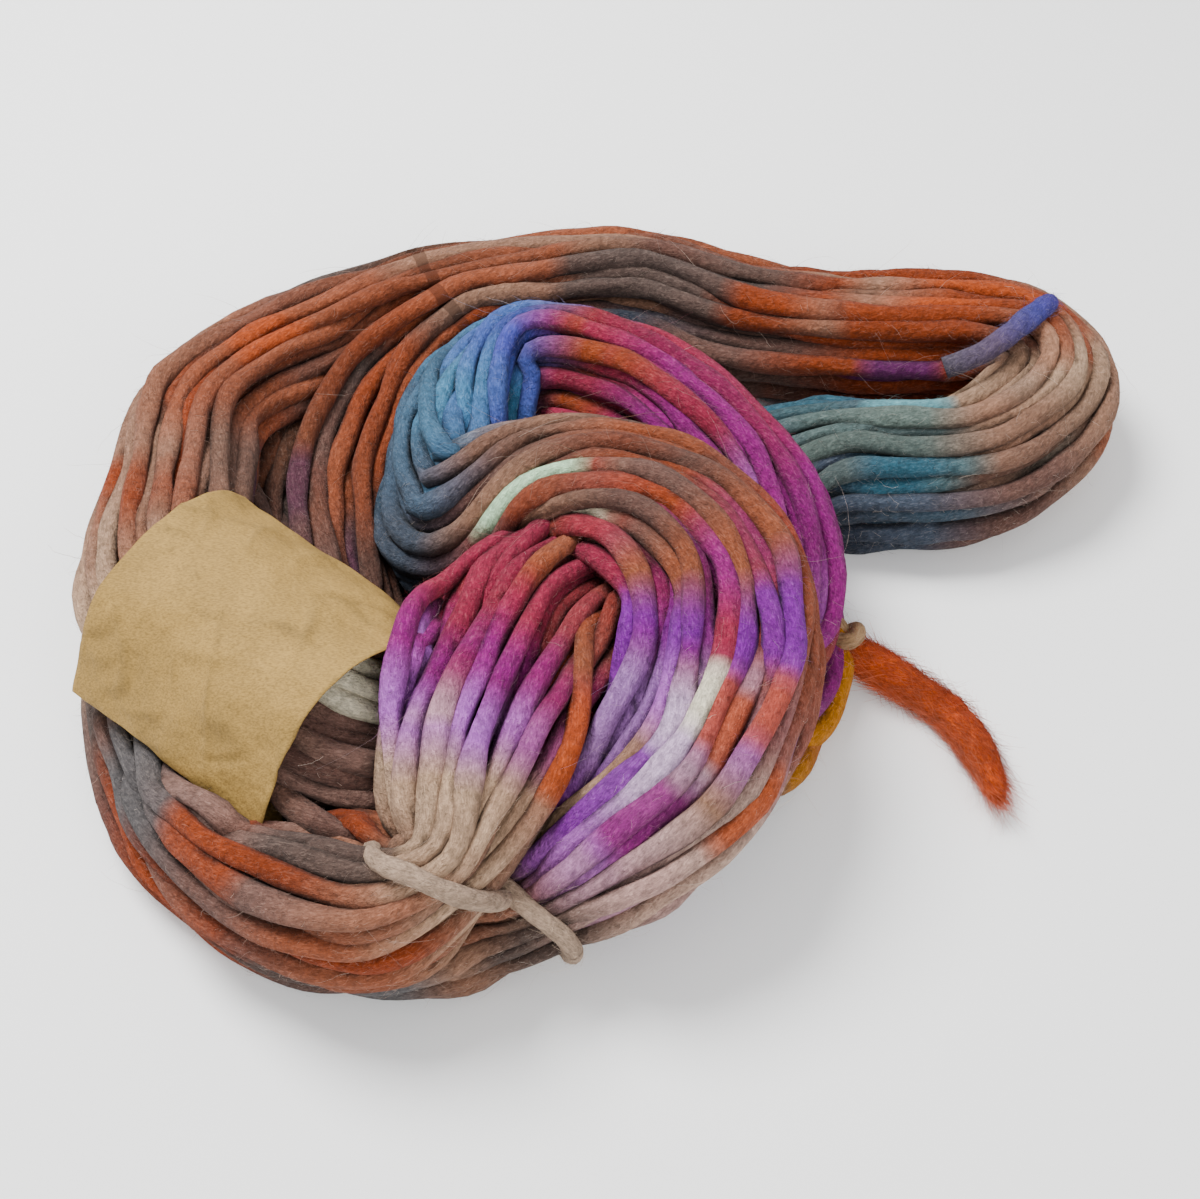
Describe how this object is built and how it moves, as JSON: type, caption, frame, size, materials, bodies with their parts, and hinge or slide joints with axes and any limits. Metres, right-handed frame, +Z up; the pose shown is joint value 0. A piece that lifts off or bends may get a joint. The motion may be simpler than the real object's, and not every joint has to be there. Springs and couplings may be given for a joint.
{
  "type": "skein of roving yarn",
  "caption": "Loosely folded hank of thick space-dyed roving yarn in a bare paper sleeve, with short ties and a fluffy free end.",
  "frame": {"origin": "middle of the flat underside's bounding box, on the surface the skein rests on", "axes": "+X to the right of the picture, towards the long lobe, +Y away from the camera, +Z up"},
  "size_m": [0.3546, 0.3054, 0.0843],
  "materials": {
    "dyed_roving": "felted single-ply wool roving, space dyed, matt and fuzzy",
    "pale_yarn": "beige wool yarn, matt and fuzzy",
    "kraft_paper": "bare brown kraft paper, matt, lightly creased",
    "orange_roving": "loose orange wool roving, fluffy",
    "violet_roving": "blue-violet wool roving, matt and fuzzy"
  },
  "bodies": {
    "root": {"skein": "dyed_roving", "tie_left": "pale_yarn", "tie_right": "pale_yarn", "label_band": "kraft_paper", "tail_knot": "pale_yarn", "tail_end": "orange_roving", "yarn_end": "violet_roving"}
  },
  "joints": []
}
